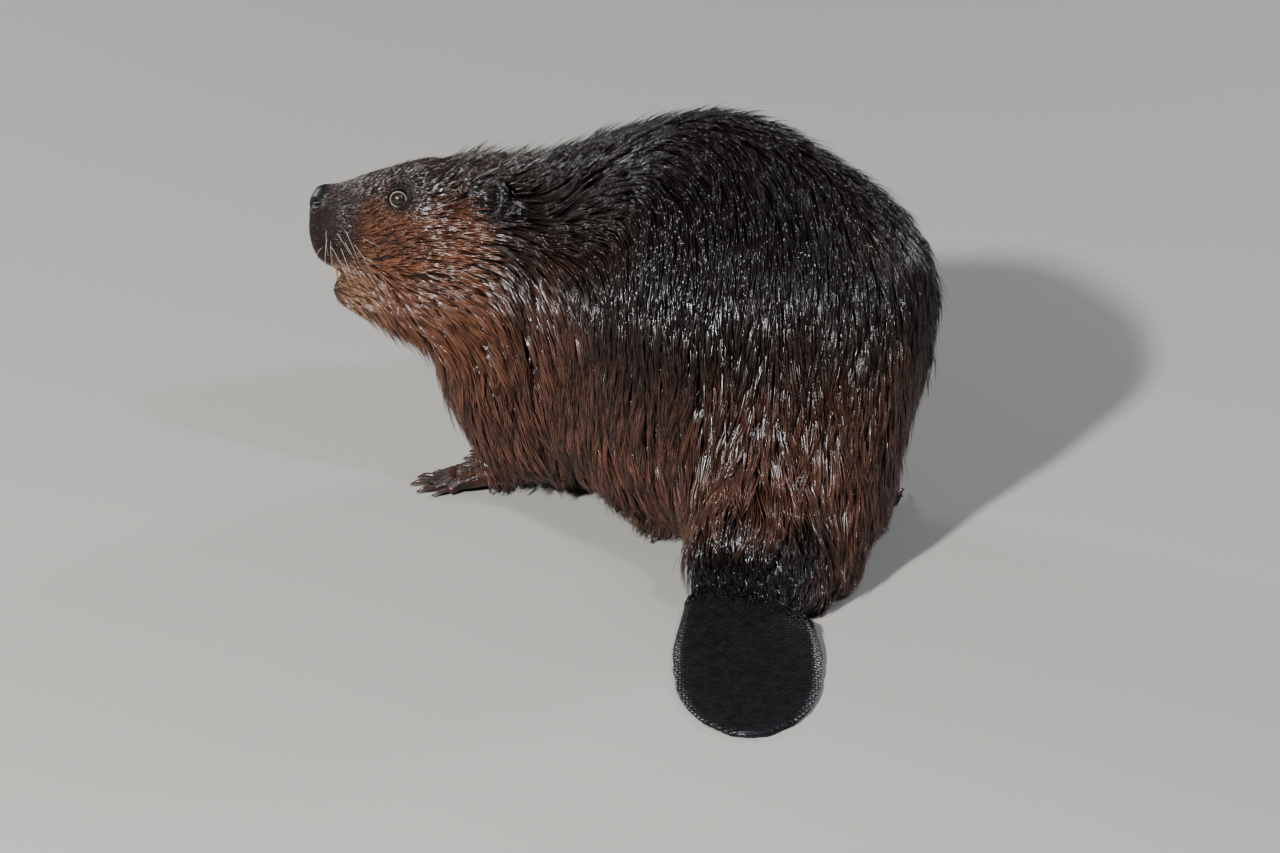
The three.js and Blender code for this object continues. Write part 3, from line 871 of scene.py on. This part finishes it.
class BakePlaces:
    """Where a point of the coat lies on an unwrap of a plainer copy of the skin."""

    def __init__(self, skin):
        proxy = new_object("unwrap", skin.data.copy())
        remesh(proxy, UNWRAP_VOXEL)
        bpy.context.view_layer.objects.active = proxy
        bpy.ops.object.select_all(action="DESELECT")
        proxy.select_set(True)
        bpy.ops.object.mode_set(mode="EDIT")
        bpy.ops.mesh.select_all(action="SELECT")
        bpy.ops.mesh.quads_convert_to_tris()
        bpy.ops.uv.smart_project(angle_limit=math.radians(66), island_margin=0.004)
        bpy.ops.object.mode_set(mode="OBJECT")
        mesh = proxy.data
        corners = np.arange(len(mesh.loops)).reshape(-1, 3)
        uv = values_of(mesh.uv_layers.active.data, "uv", 2, np.float32)
        self.uv = uv.astype(float)[corners]
        self.corners = points_of(mesh)[values_of(mesh.polygons, "vertices", 3)]
        points = self.corners.reshape(-1, 3).tolist()
        self.bvh = BVHTree.FromPolygons(points, corners.tolist())
        bpy.data.objects.remove(proxy)

    def find(self, roots):
        """The place of each root on the unwrap, between the corners of the face nearest to it."""
        face = np.array([self.bvh.find_nearest(Vector(root))[2] for root in roots])
        a, b, c = (self.corners[face, i] for i in range(3))
        ab, ac, ap = b - a, c - a, roots - a
        bb, cc, bc = (ab * ab).sum(1), (ac * ac).sum(1), (ab * ac).sum(1)
        pb, pc = (ap * ab).sum(1), (ap * ac).sum(1)
        area = np.maximum(bb * cc - bc * bc, 1e-18)
        u = np.clip((cc * pb - bc * pc) / area, 0, 1)
        v = np.clip((bb * pc - bc * pb) / area, 0, 1 - u)
        return (
            self.uv[face, 0] * (1 - u - v)[:, None]
            + self.uv[face, 1] * u[:, None]
            + self.uv[face, 2] * v[:, None]
        )


PATCH = 0.003  # the width of one blade's place on the unwrap
BLADE_STOPS = np.array([0.0, 0.3, 0.66, 1.0])
BLADE_ALONG = np.append(np.repeat(BLADE_STOPS[:-1], 3), 1.0)  # how far along each point is
BLADE_POINTS = len(BLADE_ALONG)
BLADES_IN_PIECE = 12000


def add_bake_map(mesh, places):
    """A patch for each blade: across it from corner to corner, and along it from root to tip."""
    across = np.append(np.tile([-0.45, 0.0, 0.45], len(BLADE_STOPS) - 1), 0.0)
    along = BLADE_ALONG * 0.8 - 0.4
    along[1] -= 0.08  # so that the face at the root has an area too
    local = np.stack([across, along], 1) * PATCH
    uv = (places[:, None, :] + local[None]).reshape(-1, 2)
    corners = values_of(mesh.loops, "vertex_index", 1).ravel()
    layer = mesh.uv_layers.new(name="OFBake")
    layer.data.foreach_set("uv", np.clip(uv[corners], 0, 1).astype(np.float32).ravel())


def coat_pieces(name, strands, material, bake):
    """Blades in joined meshes of a size that the export takes, spread evenly between them."""
    paths, ups, widths, colours, tint, roots = strands
    count = len(paths)
    pieces = math.ceil(count / BLADES_IN_PIECE)
    places = bake.find(roots)
    for number in range(pieces):
        pick = np.arange(number, count, pieces)
        mesh = blades(f"{name}_{number + 1}", paths[pick], ups[pick], widths[pick])
        set_colours(mesh, np.repeat(colours[pick], BLADE_POINTS, axis=0))
        set_floats(mesh, "tint", np.repeat(tint[pick], BLADE_POINTS))
        set_floats(mesh, "along", np.tile(BLADE_ALONG, len(pick)))
        add_bake_map(mesh, places[pick])
        mesh.materials.append(material)
        obj = new_object(mesh.name, mesh)
        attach(obj, "root")


# Hair lengths in millimetres, and the measures of the coat that go with each.
LENGTHS = [2.6, 3.6, 6, 10, 16, 22, 34]
CLUMP_RADII = [0.8, 0.95, 1.5, 2.3, 3.1, 3.6, 4.8]
STRAND_SPACINGS = [0.90, 0.97, 1.15, 1.36, 1.66, 2.0, 2.42]
STRAND_WIDTHS = [0.34, 0.40, 0.56, 0.78, 0.98, 1.08, 1.22]
BLADE_TAPER = np.array([0.75, 1.0, 0.62])  # its width at each stop, as a share of the widest
FLOOR_GAP = 0.8 * MM  # how near the floor the middle of a hair comes
ROOT_DEPTH = 0.3 * MM
LEAST_DEPTH = 0.45 * MM
WET_REACH = 1.4  # how much longer a wet clump is than the coat's length
LOOSE_SHARE = 0.14  # of the hairs, which hardly join their clump
BACK_FROM = 170 * MM  # the height over which the coat's pieces are those of the back


def by_length(points, values):
    return np.interp(coat_length(points) / MM, LENGTHS, values) * MM


def strand_spacing(points):
    spacing = by_length(points, STRAND_SPACINGS)
    top = ramp(8 * MM, 2 * MM, points[:, 2])  # nothing under the soles
    return spacing * (1 + 8 * top) * 1.0


def clump_spacing(points):
    """The room that a clump takes: less on the back, where the hair lies finer."""
    fine = ramp(120, 240, points[:, 2] / MM)
    return by_length(points, CLUMP_RADII) * 1.3 * (1 - 0.35 * fine)


TAIL_HAIR = 20 * MM  # how far the short hair runs out over the first scales


def rooted(skin, tail, spacing):
    """Roots over the skin and, thinning out, over the first scales of the tail."""

    def tail_spacing(points):
        thinning = ramp(0.3 * TAIL_HAIR, TAIL_HAIR, past_tail_root(points))
        return spacing(points) * (1 + 9 * thinning)

    points, facing = scattered(skin.data, spacing)
    grows = hair_grows(points, facing)
    on_scales, scales_facing = scattered(tail.data, tail_spacing)
    kept = (past_tail_root(on_scales) < TAIL_HAIR) & (on_scales[:, 2] > 9 * MM)
    points = np.vstack([points[grows], on_scales[kept]])
    return points, np.vstack([facing[grows], scales_facing[kept]])


def surface_tree(*objects):
    """The surfaces of several objects together, for finding the nearest place on them."""
    points, faces = [], []
    for obj in objects:
        faces += (triangles_of(obj.data) + len(points)).tolist()
        points += points_of(obj.data).tolist()
    return BVHTree.FromPolygons(points, faces)


def nearest(centres, points):
    """The number of the centre that is nearest to each point."""
    tree = KDTree(len(centres))
    for i, centre in enumerate(centres):
        tree.insert(centre, i)
    tree.balance()
    return np.array([tree.find(point)[1] for point in points])


def hair_grows(points, facing):
    """Where the skin carries hair: not on the nose, the lids, the soles or the toes' ends."""
    grows = furred(points) > 0.12
    grows |= (on_feet(points) > 0) & (points[:, 2] > 13 * MM) & (facing[:, 2] > 0.1)
    return grows & (from_eyes(points) > 9.3 * MM)


def ruffle(points):
    """How much more the hair stands up: on the nape and crown, and over the back."""
    forward = by_head(points)[:, 0]
    back = ramp(190, 290, points[:, 2] / MM) * (1 - ramp(-190, -150, forward))
    return on_crown(points) + 0.5 * back


def hanging(points, facing):
    """How far the tips hang, as a share of their length, where the skin faces down or ahead."""
    forward, _, up = by_head(points).T
    under = ramp(0.15, -0.6, facing[:, 2])
    front = ramp(-0.2, -0.8, facing[:, 0]) * (points[:, 2] < 200 * MM)
    lips = ramp(50, 30, forward)
    throat = 1 + 0.7 * ramp(-110, -80, forward) * ramp(-40, -60, up)
    return 0.3 * np.maximum(under, 0.6 * front) * throat * lips * (1 - on_feet(points))


def wetness(points):
    """How far hairs run together into locks: less on the back, most low on the body."""
    return np.interp(points[:, 2] / MM, [40, 120, 230, 300], [0.92, 0.9, 0.74, 0.6])


def make_clumps(skin, tail):
    """Where the clumps are rooted, and each one's middle line, ways out and lightness."""
    centres, facing = rooted(skin, tail, clump_spacing)
    count = len(centres)
    lengths = WET_REACH * coat_length(centres) * rng.uniform(0.75, 1.2, count)
    low = ramp(230 * MM, 90 * MM, centres[:, 2])
    lifts = rng.normal(0.0, 0.2, count) + ruffle(centres) * rng.uniform(0, 1.2, count)
    lifts += 0.3 * uneven(centres, 24 * MM, 9)
    swirl = (0.16 + 0.12 * low) * uneven(centres, 60 * MM, 3)
    swirl += (0.1 + 0.14 * low) * uneven(centres, 17 * MM, 4)
    swirl += (0.05 + 0.08 * low) * rng.normal(size=count)
    curl = (0.08 + 0.12 * low + 0.16 * on_face(centres)) * rng.normal(size=count)
    depths = coat_depth(centres) * (1 + 0.14 * uneven(centres, 30 * MM, 6))
    depths = np.maximum(depths, LEAST_DEPTH)
    hang = hanging(centres, facing) * rng.uniform(0.3, 1.3, count)
    surface = surface_tree(skin, tail)
    paths, ups = guides(surface, centres, facing, lengths, depths, lifts, swirl, curl, hang)
    return centres, paths, ups, rng.random(count) ** 1.6


def make_strands(skin, tail):
    """Every hair, drawn in to its clump: points, ways out, widths, colour, lightness and root."""
    centres, paths, ups, clump_tint = make_clumps(skin, tail)
    roots, facing = rooted(skin, tail, strand_spacing)
    owner = nearest(centres, roots)
    count = len(roots)
    loose = rng.random(count) < LOOSE_SHARE
    s = BLADE_STOPS[None] * rng.uniform(0.7, 1.0, count)[:, None]
    ups = unit(along_guides(ups[owner], s))
    join = wetness(roots) * rng.uniform(0.75, 1.05, count) * np.where(loose, 0.25, 1.0)
    apart = (roots - centres[owner])[:, None] * (1 - join[:, None] * s**0.8)[:, :, None]
    strand = along_guides(paths[owner], s) + apart
    size = by_length(roots, STRAND_WIDTHS)
    stray = rng.normal(size=(count, 1, 3)) * (size * np.where(loose, 1.6, 0.4))[:, None, None]
    strand += stray * s[:, :, None]
    raised = np.where(loose, 1.2 * size, 0) * rng.random(count)
    strand += ups * raised[:, None, None] * s[:, :, None]
    strand[:, 0] = roots - facing * ROOT_DEPTH
    strand[:, :, 2] = np.maximum(strand[:, :, 2], FLOOR_GAP)
    widths = size[:, None] * BLADE_TAPER * rng.uniform(0.7, 1.25, (count, 1))
    tint = np.clip(0.65 * clump_tint[owner] + 0.35 * rng.random(count) ** 2, 0, 1)
    return strand, ups, widths, markings(roots), tint, roots


def make_coat(skin, tail, bake):
    strands = make_strands(skin, tail)
    roots = strands[-1]
    material = coat_material()
    face = on_face(roots) > 0.5
    back = ~face & (roots[:, 2] > BACK_FROM)
    for name, slot, chosen in (
        ("coat_face", "face_fur", face),
        ("coat_back", "back_fur", back),
        ("coat_flank", "flank_fur", ~face & ~back),
    ):
        coat_pieces(name, [part[chosen] for part in strands], material, bake)


# ---- bare pieces


def refined(name, node, material):
    """A solid's own shape with its facets rounded, in place of the solid."""
    obj = new_object(name, cad_mesh([node], 0))
    obj.modifiers.new("rounding", "SUBSURF").levels = 2
    apply_modifiers(obj)
    obj.data.shade_smooth()
    obj.data.materials.clear()
    obj.data.materials.append(material)
    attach(obj, "root")
    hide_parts(node)
    return obj


def tail_material():
    """Black scales with a blue sheen, dull in the grooves between them."""
    n = Nodes("tail_scales")
    groove = n.attribute("groove")
    wear = n.remap(n.noise(140, 3), 0.0, 1.0, 0.35, 0.7)
    scale = n.mix((0.004, 0.004, 0.005, 1), (0.012, 0.011, 0.014, 1), wear)
    colour = n.mix(scale, (0.002, 0.0015, 0.0015, 1), groove)
    bump = n.bump(n.noise(1500), 0.05 * MM)
    n.set(Base_Color=colour, Roughness=n.remap(groove, 0.24, 0.6), Normal=bump)
    n.set(Specular_IOR_Level=0.35, Specular_Tint=(0.78, 0.86, 1.0, 1))
    return n.material


SCALE_WIDE = 5.4 * MM
SCALE_LONG = 3.6 * MM
SCALE_HIGH = 0.75 * MM
SCALES_SUNK = 0.3 * MM  # so that the scales' tops come to the solid's surface
TAIL_VOXEL = 0.9 * MM


def scale_edges(across, along):
    """How far inside its scale each point lies, in metres: bricks in rows across the tail."""
    row = np.round(along / SCALE_LONG)
    from_row = SCALE_LONG / 2 - np.abs(along - row * SCALE_LONG)
    shift = 0.5 * np.mod(row, 2)
    column = np.round(across / SCALE_WIDE - shift) + shift
    from_side = SCALE_WIDE / 2 - np.abs(across - column * SCALE_WIDE)
    return np.minimum(from_row, 0.25 * MM + 0.7 * from_side)


def make_tail():
    tail = remeshed("tail_skin", ["tail"], TAIL_VOXEL, swell=0)
    mesh = tail.data
    points = smoothed(points_of(mesh), edges_of(mesh), 10)
    move_points(mesh, points)
    across = points[:, 0] - TAIL_X
    along = TAIL_BOX[1][1] - points[:, 1] + 0.5 * across**2 / TAIL_WIDTH
    along = along + 0.6 * MM * uneven(points, 30 * MM, 8)
    inside = scale_edges(across, along)
    groove = ramp(0.8 * MM, 0.1 * MM, inside)
    tilt = np.mod(along / SCALE_LONG + 0.5, 1) - 0.5
    height = SCALE_HIGH * (1 - groove) * (0.7 + 0.5 * tilt) - SCALES_SUNK
    points = points + normals_of(mesh) * height[:, None]
    points[:, 2] = np.maximum(points[:, 2], 0)
    move_points(mesh, points)
    set_floats(mesh, "groove", groove)
    mesh.shade_smooth()
    mesh.materials.append(tail_material())
    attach(tail, "root")
    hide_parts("tail")
    return tail


def eye_material():
    """A dark brown eye under a clear wet surface."""
    n = Nodes("eye")
    rings = n.remap(n.noise(420, 4), 0.0, 1.0, 0.4, 0.75)
    colour = n.mix((0.006, 0.004, 0.003, 1), (0.030, 0.018, 0.012, 1), rings)
    n.set(Base_Color=colour, Roughness=0.35, Specular_IOR_Level=0.2)
    n.set(Coat_Weight=0.8, Coat_Roughness=0.02)
    return n.material


def enamel_material():
    n = Nodes("orange_enamel")
    colour = n.mix((0.62, 0.27, 0.06, 1), (0.75, 0.46, 0.16, 1), n.noise(300))
    n.set(Base_Color=colour, Roughness=0.22, Normal=n.bump(n.noise(900), 0.08 * MM))
    return n.material


TUBE_SIDES = 6


def turned(angles, a, b):
    """The directions at some angles from a towards b."""
    return np.cos(angles)[..., None] * a + np.sin(angles)[..., None] * b


def tube(line, radii):
    """A round, tapering rod along a line, closed at both ends, as points and faces."""
    ways = unit(np.gradient(line, axis=0))
    across = unit(np.cross(ways, [0.13, 0.21, 0.97]))
    up = np.cross(across, ways)
    angle = np.arange(TUBE_SIDES) * 2 * math.pi / TUBE_SIDES
    ring = turned(angle[None], across[:, None], up[:, None])
    points = line[:, None] + ring * radii[:, None, None]
    points = np.vstack([points.reshape(-1, 3), line[:1], line[-1:]])
    last = len(line) - 1
    start, end = len(points) - 2, len(points) - 1
    faces = []
    for i in range(TUBE_SIDES):
        j = (i + 1) % TUBE_SIDES
        faces.append([start, j, i])
        faces.append([end, last * TUBE_SIDES + i, last * TUBE_SIDES + j])
        for k in range(last):
            a, b = k * TUBE_SIDES + i, k * TUBE_SIDES + j
            faces += [[a, b, b + TUBE_SIDES], [a, b + TUBE_SIDES, a + TUBE_SIDES]]
    return points, np.array(faces)


def joined(name, parts, material):
    """Several pieces given as points and faces, made into one object."""
    points, faces, start = [], [], 0
    for some_points, some_faces in parts:
        points.append(some_points)
        faces.append(some_faces + start)
        start += len(some_points)
    obj = new_object(name, mesh_from(name, np.vstack(points), np.vstack(faces)))
    obj.data.materials.append(material)
    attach(obj, "root")
    return obj


WHISKER_POINTS = 7
WHISKER_RADII = np.linspace(0.24, 0.05, WHISKER_POINTS) * MM
WHISKER_ASIDE = 20.0  # how far from the middle of the face they are rooted, in millimetres


def whisker(side, forward, up, length, droop, ahead):
    """A stiff hair from the upper lip: out, a little ahead or back, and bending down."""
    start = np.array([forward, side * WHISKER_ASIDE, up])
    way = unit(np.array([ahead, side, -0.25]))
    steps = np.linspace(0, 1, WHISKER_POINTS)[:, None]
    line = start + way * length * steps + np.array([-0.10, 0, -droop]) * length * steps**2
    return tube(HEAD_AT + line @ HEAD_AXES * MM, WHISKER_RADII)


def make_whiskers():
    material = plain_material("whisker", (0.62, 0.56, 0.48), 0.35)
    whiskers = []
    for side in (1, -1):
        for row in range(3):
            for place in range(4):
                forward = 54 - 6 * place + rng.uniform(-2.5, 2.5)
                up = -28 - 7 * row + rng.uniform(-2, 2)
                length = rng.uniform(20, 42) + 3 * place
                droop = rng.uniform(0.05, 0.4)
                ahead = rng.uniform(-0.1, 0.55) - 0.35 * place
                whiskers.append(whisker(side, forward, up, length, droop, ahead))
    joined("whiskers", whiskers, material)


RIM_POINTS = 48
RIM_SIDES = 8
RIM_RADIUS = 7.95  # from the middle of the eye, in millimetres
RIM_THICKNESS = 0.55 * MM  # from the middle of the rim to its surface


def lid_rim(side):
    """The rim of the lids, as points and faces."""
    axis = on_side(EYE_FACES, side)
    across = unit(np.cross(axis, UP))
    up = np.cross(across, axis)
    angle = np.linspace(0, 2 * math.pi, RIM_POINTS + 1)[:-1]
    opening = LID_OPENING + 0.02 + 0.03 * np.cos(2 * angle)
    ring = turned(opening, axis, turned(angle, across, up))
    centre = eye_at[side] + ring * RIM_RADIUS * MM
    turn = np.arange(RIM_SIDES) * 2 * math.pi / RIM_SIDES
    outward = unit(ring - axis * (ring @ axis)[:, None])
    points = centre[:, None] + RIM_THICKNESS * turned(turn[None], outward[:, None], axis)
    faces = []
    for i in range(RIM_POINTS):
        row, following = i * RIM_SIDES, (i + 1) % RIM_POINTS * RIM_SIDES
        for j in range(RIM_SIDES):
            k = (j + 1) % RIM_SIDES
            faces += [[row + j, following + j, row + k], [row + k, following + j, following + k]]
    return points.reshape(-1, 3), np.array(faces)


def make_eye(side):
    refined(f"eyeball_{side}", f"eye_{side}", eye_material())
    rim = plain_material("lid_rim", tuple(LID_GREY), 0.45)
    joined(f"lid_rim_{side}", [lid_rim(side)], rim)


CLAW_ROOT = 4 * MM


def root_claw(claw, foot):
    """The claw's broad end is drawn back into its toe, towards the middle of the foot."""
    points = points_of(claw.data)
    way = unit((middle(foot) - points.mean(0)) * [1, 1, 0.3])
    along = (points - points.mean(0)) @ way
    back = ramp(0, along.max(), along)
    move_points(claw.data, points + way * (back * CLAW_ROOT)[:, None])


def make_bare_pieces():
    horn = plain_material("horn", (0.05, 0.03, 0.022), 0.25)
    for foot in PAWS:
        for toe in range(1, 6):
            node = f"claw_{foot}_{toe}"
            root_claw(refined(node.replace("claw", "horn"), node, horn), foot)
    for side in SIDES:
        make_eye(side)
    for row in ("upper", "lower"):
        refined(f"teeth_{row}", f"incisors_{row}", enamel_material())
    make_whiskers()


# ---- camera, floor and light

ELEVATION = math.radians(26)
CAMERA_DISTANCE = 6.0
IMAGE_WIDTH = 1280
PIXELS_PER_METRE = 1300  # at the body, in an image of that width
VIEW_CENTRE = sketch(-90, 60, 72)
FLOOR_HALF = 6.0
# Each light's name, place, width in metres, power in watts and colour.
LIGHTS = [
    ("key", (-1.5, -2.3, 2.25), 0.2, 240, (1.0, 0.97, 0.92)),
    ("side", (1.3, -1.2, 2.7), 0.2, 28, (0.93, 0.97, 1.0)),
    ("back_left", (-1.9, 1.9, 1.3), 0.5, 30, (1.0, 1.0, 1.0)),
    ("back_right", (2.0, 1.7, 1.3), 0.5, 30, (1.0, 1.0, 1.0)),
]
SKY_COLOUR = (0.85, 0.88, 0.92, 1)
SKY_STRENGTH = 0.06


def make_camera():
    data = bpy.data.cameras.new("camera")
    data.sensor_width = 36
    data.lens = PIXELS_PER_METRE * CAMERA_DISTANCE * data.sensor_width / IMAGE_WIDTH
    data.clip_end = 50
    camera = new_object("camera", data)
    back = Vector((0, -math.cos(ELEVATION), math.sin(ELEVATION)))
    camera.location = Vector(VIEW_CENTRE) + back * CAMERA_DISTANCE
    camera.rotation_euler = back.to_track_quat("Z", "Y").to_euler()
    bpy.context.scene.camera = camera


def make_floor():
    half = FLOOR_HALF
    corners = np.array([[-half, -half, 0], [half, -half, 0], [half, half, 0], [-half, half, 0]])
    floor = new_object("floor", mesh_from("floor", corners, np.array([[0, 1, 2, 3]])))
    n = Nodes("floor")
    n.set(Base_Color=(0.36, 0.36, 0.35, 1), Roughness=0.75)
    floor.data.materials.append(n.material)


def make_lights():
    for name, place, width, power, colour in LIGHTS:
        data = bpy.data.lights.new(name, "AREA")
        data.size = width
        data.energy = power
        data.color = colour
        light = new_object(name, data)
        light.location = place
        light.rotation_euler = Vector(place).to_track_quat("Z", "Y").to_euler()
    world = bpy.data.worlds.new("studio")
    world.use_nodes = True
    sky = world.node_tree.nodes["Background"]
    sky.inputs["Color"].default_value = SKY_COLOUR
    sky.inputs["Strength"].default_value = SKY_STRENGTH
    bpy.context.scene.world = world


# ---- everything

make_camera()
make_floor()
make_lights()
skin = make_skin()
bake_places = BakePlaces(skin)
tail = make_tail()
make_coat(skin, tail, bake_places)
make_bare_pieces()
